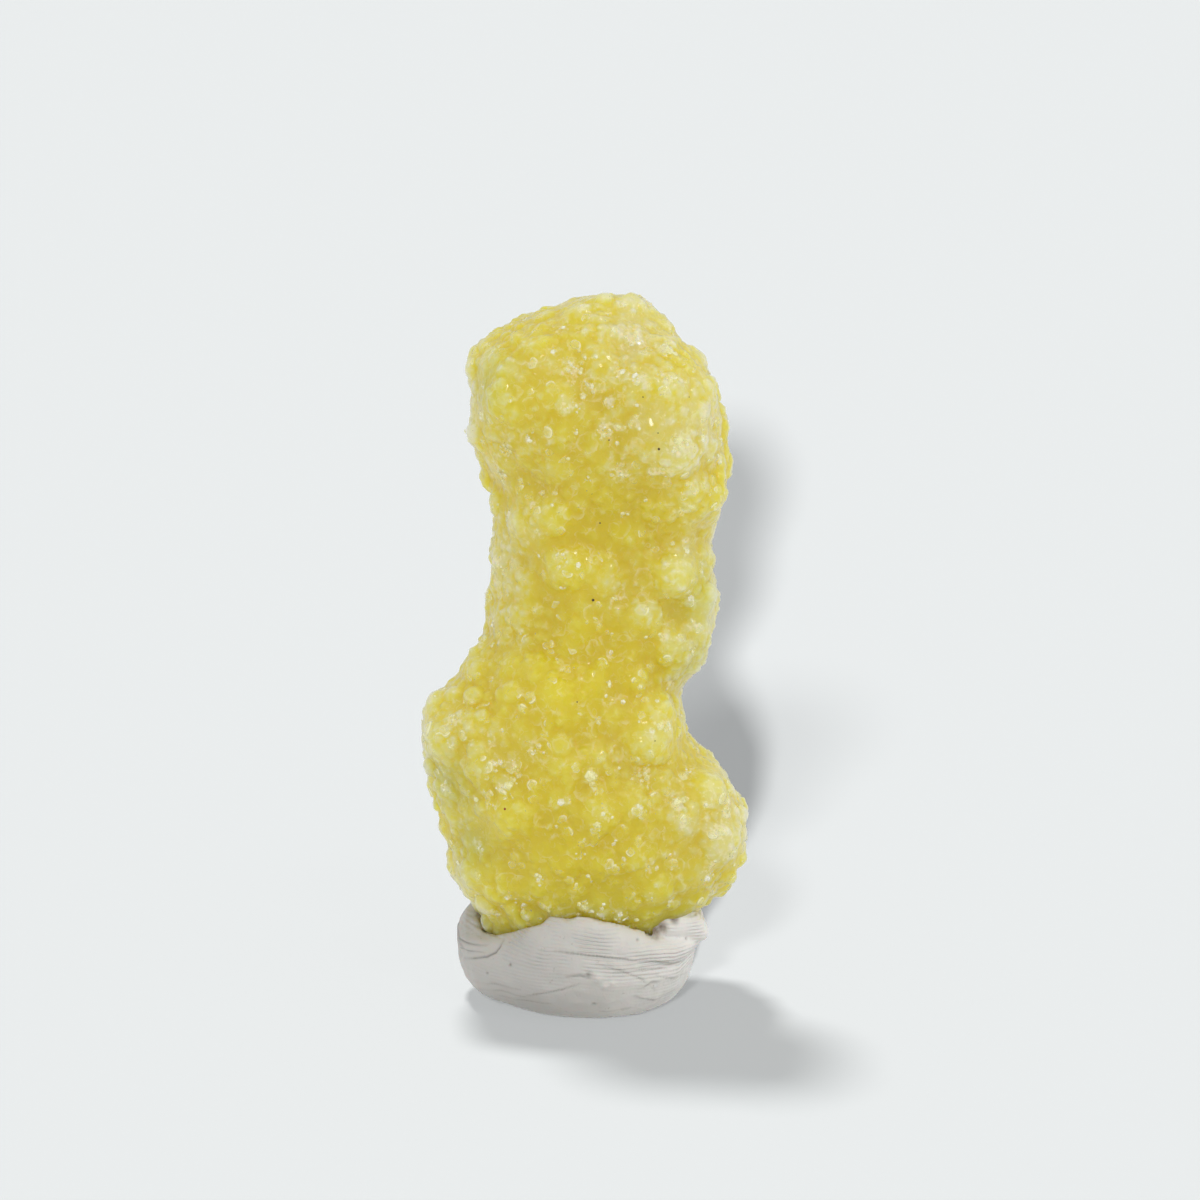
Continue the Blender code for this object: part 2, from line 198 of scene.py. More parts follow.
# Creases that show on the front: depth, half width and how far the side above swells, then their pixels
CREASES = (
    (0.35, 0.15, 0.10, ((504, 933), (500, 940), (495, 947), (487, 952), (475, 955), (463, 957))),
    (0.16, 0.13, 0.30, ((555, 955), (575, 957), (600, 958), (625, 959), (649, 961))),
    (0.18, 0.14, 0.35, ((649, 961), (665, 961), (685, 958), (697, 955))),
    (0.10, 0.12, 0.10, ((615, 972), (640, 969), (660, 968), (680, 972))),
    (0.14, 0.13, 0.10, ((566, 978), (580, 976), (590, 979))),
    (0.08, 0.12, 0.08, ((505, 1000), (535, 994), (560, 991), (580, 984))),
    (0.12, 0.13, 0.10, ((643, 988), (650, 983), (660, 981))),
    (0.12, 0.14, 0.15, ((635, 997), (655, 1000), (675, 990), (690, 985))),
    (0.06, 0.12, 0.05, ((475, 980), (495, 984), (520, 990))),
    (0.06, 0.12, 0.05, ((480, 987), (500, 991), (525, 997))),
    (0.06, 0.12, 0.05, ((500, 996), (525, 1001), (550, 1004))),
    (0.08, 0.13, 0.08, ((600, 1012), (630, 1008), (650, 1010))),
    (0.08, 0.12, 0.10, ((600, 966), (620, 970), (640, 978), (655, 990))),
    (0.10, 0.12, 0.12, ((655, 975), (672, 978), (688, 972))),
)
# The rolled end of the wall, against the brucite at the right: pixel and radius of the balls that fill it
CURL = (
    (656, 928, 0.8), (660, 925, 1.2), (665, 923, 1.6), (670, 921, 1.8), (675, 921, 1.9), (680, 921, 1.9),
    (685, 922, 1.9), (690, 924, 1.9), (695, 927, 1.7), (699, 931, 1.5),
)
# Pits, and bumps where the depth is below 0: pixel, radius and depth
PITS = (
    (509, 964, 0.2, 0.25), (657, 930, 0.6, 0.6), (663, 928, 0.5, 0.35), (675, 920, 0.5, 0.3),
    (487, 973, 0.16, 0.2), (594, 1005, 0.2, 0.22), (638, 938, 0.2, 0.15), (686, 938, 0.2, 0.2),
    (588, 976, 0.3, 0.25), (593, 974, 0.3, -0.25), (598, 979, 0.5, -0.4), (604, 986, 0.4, -0.3),
    (612, 983, 0.3, -0.2),
)
STAINS = ((656, 931, 1.0), (674, 918, 0.5), (660, 928, 0.9))  # pixel and radius of brown marks
RIDGE_PITCH = 0.47  # of the finger ridges
# Creases on the sides and back: how many, between which heights, and how long, deep and wide
BACK_CREASES = dict(count=22, heights=(1.5, 10.5), lengths=(4, 14), depths=(0.06, 0.25), widths=(0.13, 0.2))
BACK_TURNS = (-math.pi / 2 + 1.3, 3 * math.pi / 2 - 1.5)  # a back crease starts between these, in radians
BACK_STEP = 0.6  # between two points of a back crease
BACK_SLOPE = 0.15  # spread of the slopes they start with
BACK_BEND = 0.05  # and of the change at each step
PUTTY_RADIUS = 15.0
OUTSIDE = 40.0  # a place this far from the putty's middle is outside it
CREASE_REACH = 4.0  # a crease does nothing farther away than this
SWELL_FADE = 1.2  # the swelling beside a crease fades over this width

# ---- stage and lights ----------------------------------------------------------------------------
FLOOR_REACH = 6000.0
# Suns: name, azimuth, elevation and width in degrees, and strength
SUNS = (("key", 48, 50, 50, 0.3), ("glint", 30, 55, 6, 0.3))
# Suns that shine on the floor alone and cast the shadows
FLOOR_SUNS = (
    ("cast_back", -4.0, 11, 2.5, 95),
    ("cast_low", -11, 28, 7, 12),
    ("cast_front", -150, 70, 9, 18),
)
SKY_COLOUR = (0.93, 0.96, 1.0, 1.0)
SKY_STRENGTH = 0.8

# ---- meshes --------------------------------------------------------------------------------------


def link(obj):
    bpy.context.scene.collection.objects.link(obj)
    return obj


def new_object(name, points, faces):
    """A smooth-shaded object from points in mm and its faces."""
    mesh = bpy.data.meshes.new(name)
    mesh.from_pydata([tuple(p) for p in points * MM], [], [tuple(f) for f in faces])
    mesh.shade_smooth()
    return link(bpy.data.objects.new(name, mesh))


def applied(obj):
    """Replaces obj's mesh by what its modifiers make of it."""
    graph = bpy.context.evaluated_depsgraph_get()
    mesh = bpy.data.meshes.new_from_object(obj.evaluated_get(graph))
    obj.modifiers.clear()
    old = obj.data
    obj.data = mesh
    bpy.data.meshes.remove(old)
    mesh.shade_smooth()
    return obj


def fused(obj, voxel):
    """Makes one closed skin of the bodies in obj."""
    remesh = obj.modifiers.new("fuse", "REMESH")
    remesh.mode = "VOXEL"
    remesh.voxel_size = voxel * MM
    return applied(obj)


def thinned(obj, triangles):
    obj.data.calc_loop_triangles()
    thin = obj.modifiers.new("thin", "DECIMATE")
    thin.ratio = min(1.0, triangles / len(obj.data.loop_triangles))
    thin.use_collapse_triangulate = True
    return applied(obj)


def points_of(mesh):
    """The mesh's points in mm."""
    found = np.empty(len(mesh.vertices) * 3, np.float32)
    mesh.vertices.foreach_get("co", found)
    return found.reshape(-1, 3).astype(float) / MM


def normals_of(mesh):
    found = np.empty(len(mesh.vertices) * 3, np.float32)
    mesh.vertices.foreach_get("normal", found)
    return found.reshape(-1, 3).astype(float)


def move_points(mesh, points):
    mesh.vertices.foreach_set("co", (points * MM).astype(np.float32).ravel())
    mesh.update()


def triangles_of(mesh):
    mesh.calc_loop_triangles()
    found = np.empty(len(mesh.loop_triangles) * 3, np.int32)
    mesh.loop_triangles.foreach_get("vertices", found)
    return found.reshape(-1, 3)


def edges_of(mesh):
    found = np.empty(len(mesh.edges) * 2, np.int32)
    mesh.edges.foreach_get("vertices", found)
    return found.reshape(-1, 2)


def softened(values, edges, steps):
    """values, one row a point, averaged with their neighbours' this many times."""
    values = np.array(values, float)
    wide = values.reshape(len(values), -1)
    a, b = edges.T
    count = np.bincount(a, minlength=len(wide)) + np.bincount(b, minlength=len(wide))
    for _ in range(steps):
        total = np.stack(
            [
                np.bincount(a, wide[b, k], len(wide)) + np.bincount(b, wide[a, k], len(wide))
                for k in range(wide.shape[1])
            ],
            axis=1,
        )
        wide = 0.5 * wide + 0.5 * total / count[:, None]
    return wide.reshape(values.shape)


def add_attribute(mesh, name, values):
    attribute = mesh.attributes.new(name, "FLOAT", "POINT")
    attribute.data.foreach_set("value", np.clip(values, 0.0, 1.0).astype(np.float32))


def relief(mesh, steps, depth):
    """How far each point stands out of its surroundings: 0 in a valley, 0.5 where level, 1 on a tip."""
    points = points_of(mesh)
    out = ((points - softened(points, edges_of(mesh), steps)) * normals_of(mesh)).sum(axis=1)
    return 0.5 + out / depth


# ---- brucite -------------------------------------------------------------------------------------


def solid_copy(node, name):
    """The CAD node's mesh in an object of its own."""
    return link(bpy.data.objects.new(name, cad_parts[node].data.copy()))


def brucite_core():
    """The skin to raise bodies from: the CAD solid, smoothed."""
    core = fused(solid_copy("brucite", "brucite_skin"), CORE_GRAIN)
    points = softened(points_of(core.data), edges_of(core.data), CORE_SMOOTHING)
    move_points(core.data, points)
    move_points(core.data, points + normals_of(core.data) * CORE_SWELL)
    fused(core, SKIN_GRAIN)
    move_points(core.data, softened(points_of(core.data), edges_of(core.data), CORE_FINISH))
    return core


def patches(points, size, seed):
    """A soft random value between 0 and 1 at each point, changing over about size."""
    shift = Vector((seed, 2 * seed, 3 * seed))
    return np.clip([0.5 + noise.noise(Vector(p) / size + shift) for p in points], 0, 1)


def scattered(mesh, kind, rng, placed=(), wanted=None):
    """Seeds of one kind of body spread over the mesh, as (points, normals, radii), none too near another.

    placed are seeds that are all kept, and wanted gives the chance that a spot is taken.
    """
    count, radii, spacing = kind["count"], kind["radii"], kind["spacing"]
    points, triangles = points_of(mesh), triangles_of(mesh)
    a, b, c = (points[triangles[:, k]] for k in range(3))
    cross = np.cross(b - a, c - a)
    area = np.linalg.norm(cross, axis=1)
    picks = rng.choice(len(triangles), count * TRIES, p=area / area.sum())
    u, v = rng.random((2, len(picks)))
    over = u + v > 1
    u[over], v[over] = 1 - u[over], 1 - v[over]
    spots = a[picks] + (b - a)[picks] * u[:, None] + (c - a)[picks] * v[:, None]
    normals = cross[picks] / area[picks, None]
    sizes = radii[0] + (radii[1] - radii[0]) * rng.random(len(picks)) ** SMALLER
    fits = spots[:, 2] > ROOT_TOP
    if wanted is not None:
        fits &= wanted(spots) > rng.random(len(picks))
    first = len(placed[2]) if placed else 0
    if first:
        spots, normals, sizes = (np.concatenate(pair) for pair in zip(placed, (spots, normals, sizes)))
        fits = np.concatenate([np.ones(first, bool), fits])
    cell = max(sizes.max(), radii[1]) * spacing
    around = [(dx, dy, dz) for dx in (-1, 0, 1) for dy in (-1, 0, 1) for dz in (-1, 0, 1)]
    taken = {}
    kept = []
    for i in np.flatnonzero(fits):
        x, y, z = (int(k) for k in spots[i] // cell)
        near = [k for dx, dy, dz in around for k in taken.get((x + dx, y + dy, z + dz), ())]
        if near and i >= first:
            gap = np.linalg.norm(spots[near] - spots[i], axis=1)
            if (gap < spacing * (sizes[near] + sizes[i]) / 2).any():
                continue
        taken.setdefault((x, y, z), []).append(i)
        kept.append(i)
        if len(kept) == count:
            break
    return spots[kept], normals[kept], sizes[kept]


def across(normals):
    """Two unit vectors square to each normal and to each other."""
    aside = np.where(np.abs(normals[:, 2:]) < 0.9, (0.0, 0.0, 1.0), (1.0, 0.0, 0.0))
    u = np.cross(normals, aside)
    u /= np.linalg.norm(u, axis=1)[:, None]
    return u, np.cross(normals, u)


def round_body(x, y, radius, height, rng):
    """Height of a lopsided dome over (x, y)."""
    turn, stretch = rng.uniform(0, math.pi), rng.uniform(*DOME_WIDTH)
    along = x * math.cos(turn) + y * math.sin(turn)
    aside = (y * math.cos(turn) - x * math.sin(turn)) / stretch
    return height * np.sqrt(np.clip(1 - (along**2 + aside**2) / radius**2, 0, 1))


def flat_body(x, y, radius, height, rng):
    """Height of a tilted crystal face with steep sides over (x, y)."""
    lean = rng.uniform(-FACE_LEAN, FACE_LEAN, 2) * height / radius
    found = height * FACE_TOP + lean[0] * x + lean[1] * y
    start = rng.uniform(0, math.pi)
    for k in range(6):
        angle = start + k * math.pi / 3 + rng.uniform(-FACE_SKEW, FACE_SKEW)
        reach = radius * rng.uniform(*FACE_REACH) - x * math.cos(angle) - y * math.sin(angle)
        found = np.minimum(found, reach * rng.uniform(*FACE_STEEP) * height / radius)
    return np.maximum(found, 0)


def raised(points, tree, seeds, rise, flat, rng):
    """Heights over the points of the bodies grown at the seeds."""
    spots, normals, radii = seeds
    us, vs = across(normals)
    top = np.zeros(len(points))
    for i in range(len(spots)):
        near = np.array([k for _, k, _ in tree.find_range(spots[i], radii[i])], int)
        if not len(near):
            continue
        away = points[near] - spots[i]
        shape = flat_body if rng.random() < flat else round_body
        height = radii[i] * rise[i]
        found = shape(away @ us[i], away @ vs[i], radii[i], height, rng)
        top[near] = np.maximum(top[near], found)
    return top


def tree_of(points):
    tree = kdtree.KDTree(len(points))
    for i, point in enumerate(points):
        tree.insert(point, i)
    tree.balance()
    return tree


def surface_of(mesh):
    """The mesh as a tree that rays can be cast at."""
    points = [tuple(p) for p in points_of(mesh)]
    return bvhtree.BVHTree.FromPolygons(points, [tuple(t) for t in triangles_of(mesh)])


def camera_axes():
    """The camera's place, and the ways it looks, right and up, in mm."""
    e = math.radians(CAMERA_ELEVATION)
    ahead = Vector((0, math.cos(e), -math.sin(e)))
    up = Vector((0, math.sin(e), math.cos(e)))
    return Vector(CAMERA_TARGET) - ahead * CAMERA_DISTANCE, ahead, Vector((1, 0, 0)), up


def seen_at(surface, px, py):
    """The surface's point, and its normal, at this pixel of the picture."""
    place, ahead, right, up = camera_axes()
    reach = CAMERA_LENS / CAMERA_SENSOR * PICTURE
    way = ahead * reach + right * (px - PICTURE / 2) - up * (py - PICTURE / 2)
    point, normal, _, _ = surface.ray_cast(place, way.normalized())
    return point, normal


def spots_seen(surface, table):
    """Points, normals and the third column of a table whose first two columns are pixels."""
    found = [(*seen_at(surface, row[0], row[1]), row[2]) for row in table]
    spots, normals, sizes = zip(*(row for row in found if row[0] is not None))
    return np.array([s[:] for s in spots]), np.array([n[:] for n in normals]), np.array(sizes)


def nearness(points, spots, radii):
    """1 on a spot, falling to 0 at about twice its radius."""
    found = np.zeros(len(points))
    for spot, radius in zip(spots, radii):
        away = ((points - spot) ** 2).sum(axis=1) / radius**2
        found = np.maximum(found, np.exp(-away))
    return found


def shrunk(seeds, share):
    return seeds[0], seeds[1], seeds[2] * share


def share_of(points, size, seed, scale, shift, least):
    """A soft random share between least and 1 at each point."""
    return np.clip(patches(points, size, seed) * scale + shift, least, 1.0)


def brucite_skin(rng):
    """The grown skin, the seeds of its shells and grits, and the frosted places with painted glints, as
    (points, radii).
    """
    skin = brucite_core()
    mesh = skin.data
    points, normals = points_of(mesh), normals_of(mesh)
    tree = tree_of(points)
    surface = surface_of(mesh)
    knobs = scattered(mesh, KNOBS, rng)
    placed = spots_seen(surface, BEAD_SPOTS)
    beads = scattered(mesh, BEADS, rng, placed, lambda spots: share_of(spots, *BEADY_PLACES))
    grains = scattered(mesh, GRAINS, rng)
    knob_rise = rng.uniform(*KNOBS["rise"], len(knobs[0]))
    knob_height = raised(points, tree, knobs, knob_rise, KNOBS["flat"], rng)
    bead_rise = rng.uniform(*BEADS["rise"], len(beads[0]))
    bead_rise[: len(placed[0])] = [row[3] for row in BEAD_SPOTS][: len(placed[0])]
    bead_height = raised(points, tree, shrunk(beads, CORE_SHARE), bead_rise, BEADS["flat"], rng)
    grain_rise = rng.uniform(*GRAINS["rise"], len(grains[0]))
    grain_height = raised(points, tree, grains, grain_rise, GRAINS["flat"], rng)
    rooted = np.clip((points[:, 2] - ROOT_TOP) / ROOT_FADE, 0, 1)
    out = (knob_height + bead_height + grain_height * share_of(points, *ROUGH_PLACES)) * rooted
    out = softened(out, edges_of(mesh), SKIN_SOFTENING)
    move_points(mesh, points + normals * out[:, None])

    frost_and_glint_points, _, frost_and_glint_radii = spots_seen(surface, FROST_AND_GLINT_SPOTS)
    white_glints = spots_seen(surface_of(mesh), WHITE_GLINT_SPOTS)
    others = scattered(mesh, OTHER_FROST, rng)
    frost_and_glint_points = np.concatenate([frost_and_glint_points, white_glints[0], others[0]])
    frost_and_glint_radii = np.concatenate([frost_and_glint_radii, white_glints[2], others[2]])
    kept = {
        "frost_and_glint": nearness(points, frost_and_glint_points, frost_and_glint_radii),
        "cloud": sum(weight * patches(points, size, seed) for size, seed, weight in CLOUDS),
    }
    for name, zones in (("pale", PALE_LIGHT_ZONES), ("golden_shade", GOLDEN_SHADE_ZONES), ("green_shade", GREEN_SHADE_ZONES)):
        zones = np.array(zones, float)
        kept[name] = nearness(points, zones[:, :3], zones[:, 3])
    moved = points_of(mesh)
    # The placed beads and the largest of the others have a shell, which sits on the raised skin
    first = len(placed[0])
    large = np.concatenate([np.arange(first), first + np.argsort(-beads[2][first:])])
    beads = [column[large[:SHELL_COUNT]] for column in beads]
    lift = out[[tree.find(p)[1] for p in beads[0]]]
    beads[0] = beads[0] + beads[1] * (lift * SHELL_LIFT)[:, None]
    near_frost_and_glint = frost_and_glint_points, frost_and_glint_radii * GRIT_REACH
    grits = scattered(mesh, GRIT_SEEDS, rng, white_glints, lambda spots: nearness(spots, *near_frost_and_glint) ** 2)
    thinned(skin, SKIN_TRIANGLES)
    where = tree_of(moved)
    sources = np.array([where.find(p)[1] for p in points_of(skin.data)])
    for name, values in kept.items():
        add_attribute(skin.data, name, values[sources])
    for name, steps, depth in RELIEFS:
        add_attribute(skin.data, name, relief(skin.data, steps, depth))
    return skin, beads, grits, (frost_and_glint_points, frost_and_glint_radii)


def unit_cap(subdivisions):
    """Points and triangles of the part above SHELL_FOOT of a ball of radius 1."""
    bm = bmesh.new()
    bmesh.ops.create_icosphere(bm, subdivisions=subdivisions, radius=1.0)
    low = [v for v in bm.verts if v.co.z < SHELL_FOOT]
    bmesh.ops.delete(bm, geom=low, context="VERTS")
    bm.verts.index_update()
    points = np.array([v.co[:] for v in bm.verts])
    faces = np.array([[v.index for v in f.verts] for f in bm.faces])
    bm.free()
    return points, faces


def shells(name, seeds, frost_and_glint, rng, depth, cuts, subdivisions):
    """Clear crystals over the seeds, stretched and cut by flat faces.

    Their attribute "crown" is 1 at the top and 0 at the widest, and "cloudy" says how milky each is.
    """
    spots, normals, sizes = seeds
    cap, faces = unit_cap(subdivisions)
    count = len(spots)
    u, v = across(normals)
    spin = rng.uniform(0, 2 * math.pi, (count, 1))
    u, v = u * np.cos(spin) + v * np.sin(spin), v * np.cos(spin) - u * np.sin(spin)
    frames = np.stack([u, v, normals], axis=2)
    stretch = np.concatenate([rng.uniform(*SHELL_STRETCH, (count, 2)), np.ones((count, 1))], axis=1)
    shapes = np.einsum("nij,nkj->nki", frames, cap[None] * stretch[:, None])
    for _ in range(cuts):
        facing = rng.normal(size=(count, 3)) + normals
        facing /= np.linalg.norm(facing, axis=1)[:, None]
        reach = rng.uniform(*SHELL_CUTS, (count, 1))
        over = np.einsum("nki,ni->nk", shapes, facing) - reach
        shapes -= np.maximum(over, 0)[:, :, None] * facing[:, None, :]
    crown = np.einsum("nki,ni->nk", shapes, normals) / np.linalg.norm(shapes, axis=2)
    centres = spots - normals * sizes[:, None] * depth
    points = (shapes * sizes[:, None, None] + centres[:, None, :]).reshape(-1, 3)
    indices = (faces[None] + np.arange(count)[:, None, None] * len(cap)).reshape(-1, 3)
    made = new_object(name, points, indices)
    made.data.set_sharp_from_angle(angle=math.radians(CRYSTAL_ANGLE))
    cloudy = np.clip(MILKINESS * rng.random(count) ** 3 + FROST_MILK * nearness(spots, *frost_and_glint), 0, 1)
    add_attribute(made.data, "crown", crown.ravel())
    add_attribute(made.data, "cloudy", np.repeat(cloudy, len(cap)))
    return made


def specks(name, skin, table):
    """Small flat grains lying on the skin."""
    spots, normals, sizes = spots_seen(surface_of(skin.data), table)
    cap, faces = unit_cap(1)
    u, v = across(normals)
    frames = np.stack([u, v, normals * 0.5], axis=2)
    points = np.einsum("nij,kj->nki", frames, cap) * sizes[:, None, None] + spots[:, None]
    indices = faces[None] + np.arange(len(spots))[:, None, None] * len(cap)
    return new_object(name, points.reshape(-1, 3), indices.reshape(-1, 3))


# ---- putty ---------------------------------------------------------------------------------------


def back_creases(surface, rng):
    """Creases that wander along the sides and back, as (depth, half width, swell, points)."""
    found = []
    for _ in range(BACK_CREASES["count"]):
        turn = rng.uniform(*BACK_TURNS)
        height = rng.uniform(*BACK_CREASES["heights"])
        length = rng.uniform(*BACK_CREASES["lengths"])
        slope = rng.normal(0, BACK_SLOPE)
        line = []
        for step in np.arange(0, length, BACK_STEP):
            angle = turn + step / PUTTY_RADIUS
            way = Vector((math.cos(angle), math.sin(angle), 0))
            slope += rng.normal(0, BACK_BEND)
            height += slope * BACK_STEP
            start = Vector((*PUTTY_MIDDLE, height)) + way * OUTSIDE
            point = surface.ray_cast(start, -way)[0]
            if point is not None:
                line.append(point)
        if len(line) > 3:
            depth, width = rng.uniform(*BACK_CREASES["depths"]), rng.uniform(*BACK_CREASES["widths"])
            found.append((depth, width, rng.uniform(0, 0.2), line))
    return found


def creased(points, crease):
    """How far a crease moves each point along its normal, and how deep in the crease it is."""
    depth, width, swell, line = crease
    line = np.array([tuple(p) for p in line])
    steps = np.linspace(0, len(line) - 1, len(line) * 8)
    dense = np.stack([np.interp(steps, np.arange(len(line)), line[:, k]) for k in range(3)], axis=1)
    low, high = dense.min(axis=0) - CREASE_REACH, dense.max(axis=0) + CREASE_REACH
    near = np.flatnonzero(((points > low) & (points < high)).all(axis=1))
    away = np.full(len(near), np.inf)
    above = np.zeros(len(near))
    fade = np.zeros(len(near))
    for k, spot in enumerate(dense):
        gap = points[near] - spot
        reach = np.linalg.norm(gap, axis=1)
        closer = reach < away
        away[closer] = reach[closer]
        above[closer] = gap[closer, 2]
        fade[closer] = math.sin(math.pi * (k + 1) / (len(dense) + 1)) ** 0.5
    moved, inside = np.zeros(len(points)), np.zeros(len(points))
    inside[near] = np.exp(-((away / width) ** 2)) * fade
    swollen = swell * fade * np.exp(-away / SWELL_FADE) * (above > 0) * np.clip(away / width, 0, 1)
    moved[near] = swollen - depth * inside[near]
    return moved, inside


def with_curl(solid, brucite):
    """Adds the rolled end of the wall to the putty's solid."""
    wall = surface_of(solid.data)
    spots = np.array([seen_at(brucite, px, py)[0] or seen_at(wall, px, py)[0] for px, py, _ in CURL])
    eye = np.array(camera_axes()[0])
    reach = np.linalg.norm(spots - eye, axis=1)
    even = np.linspace(reach[0], reach[-1], len(spots))
    spots = eye + (spots - eye) * (even / reach)[:, None]
    bm = bmesh.new()
    bm.from_mesh(solid.data)
    for spot, (_, _, radius) in zip(spots, CURL):
        place = Matrix.Translation(Vector(spot) * MM)
        bmesh.ops.create_icosphere(bm, subdivisions=3, radius=radius * MM, matrix=place)
    bm.to_mesh(solid.data)
    bm.free()
    return solid


def rim_row(putty, brucite, px):
    """The highest row in a column of pixels where the front of the putty shows."""
    for row in np.arange(*RIM_ROWS):
        near, far = seen_at(putty, px, row)[0], seen_at(brucite, px, row)[0]
        if near is not None and near.y < 0 and (far is None or near.y < far.y):
            return row
    return None


def to_rim_line(points, putty, brucite):
    """Stretches or presses down the front of the wall until its rim is on RIM_LINE."""
    rows = [(px, rim_row(putty, brucite, px), row) for px, row in RIM_LINE]
    rows = np.array([row for row in rows if row[1] is not None])
    near = 1 + points[:, 1] / CAMERA_DISTANCE
    px = PICTURE / 2 + (points[:, 0] - CAMERA_TARGET[0]) * PIXELS_A_MM / near
    off = rows[:, 1] - rows[:, 2]
    off[1:-1] = (off[:-2] + 2 * off[1:-1] + off[2:]) / 4
    rise = np.interp(px, rows[:, 0], off) / PIXELS_A_MM
    height = np.clip((points[:, 2] - RIM_FOOT) / (RIM_TOP - RIM_FOOT), 0, 1) ** 1.5
    front = np.clip((RIM_BACK - points[:, 1]) / RIM_FADE, 0, 1)
    points = points.copy()
    points[:, 2] += rise * height * front
    return points


def pressed(points, normals, surface, rng):
    """The points with unevenness, creases and pits, and how deep in a crease each is."""
    seen = [(d, w, s, [seen_at(surface, *pixel)[0] for pixel in line]) for d, w, s, line in CREASES]
    seen = [(d, w, s, [p for p in line if p is not None]) for d, w, s, line in seen]
    moved = sum(height * (patches(points, size, seed) - 0.5) for size, seed, height in PUTTY_WAVES)
    crease = np.zeros(len(points))
    for line in seen + back_creases(surface, rng):
        out, inside = creased(points, line)
        moved += out
        crease = np.maximum(crease, inside)
    for px, py, radius, depth in PITS:
        spot = seen_at(surface, px, py)[0]
        inside = np.exp(-((points - np.array(spot)) ** 2).sum(axis=1) / radius**2)
        moved -= depth * inside
        if depth > 0:
            crease = np.maximum(crease, inside)
    # The underside stays flat
    moved *= np.clip(points[:, 2], 0, 1)
    return points + normals * moved[:, None], crease


def drawn_on(points, normals, surface, brucite, edges):
    """The points, with those of the wall that are near the brucite drawn on to it."""
    hugged = points.copy()
    pocket = np.array(seen_at(surface, *POCKET[:2])[0])
    for i in np.flatnonzero(points[:, 2] > HUG_BOTTOM):
        place, _, _, reach = brucite.find_nearest(Vector(points[i]), HUG_REACH)
        if place is None or np.linalg.norm(points[i] - pocket) < POCKET[2]:
            continue
        way = np.array(place) - points[i]
        facing = np.clip(way @ normals[i] / max(reach, 1e-6) * 3, 0, 1)
        rising = min(1, (points[i][2] - HUG_BOTTOM) / HUG_FADE)
        hugged[i] += way * facing * (1 + HUG_OVERLAP / max(reach, HUG_OVERLAP)) * rising
    drawn = np.linalg.norm(hugged - points, axis=1)
    drawn = softened(np.minimum(drawn / DRAWN, 1), edges, DRAWN_SOFTENING)[:, None]
    return hugged * (1 - drawn) + softened(hugged, edges, RIM_SOFTENING) * drawn


def putty_lump(skin, rng):
    brucite = surface_of(skin.data)
    lump = fused(with_curl(solid_copy("putty_base", "putty_lump"), brucite), PUTTY_GRAIN)
    mesh = lump.data
    edges = edges_of(mesh)
    points = softened(points_of(mesh), edges, PUTTY_SMOOTHING)
    points[:, 2] = np.maximum(points[:, 2], 0)
    move_points(mesh, points)
    surface = surface_of(mesh)
    normals = normals_of(mesh)
    points, crease = pressed(points, normals, surface, rng)
    points = drawn_on(points, normals, surface, brucite, edges)
    move_points(mesh, points)
    points = to_rim_line(points, surface_of(mesh), brucite)
    move_points(mesh, points)
    stains = spots_seen(surface, STAINS)
    kept = {"crease": crease, "stain": nearness(points, stains[0], stains[2])}
    thinned(lump, PUTTY_TRIANGLES)
    where = tree_of(points)
    sources = np.array([where.find(p)[1] for p in points_of(lump.data)])
    for name, values in kept.items():
        add_attribute(lump.data, name, values[sources])
    return lump


# ---- materials -----------------------------------------------------------------------------------


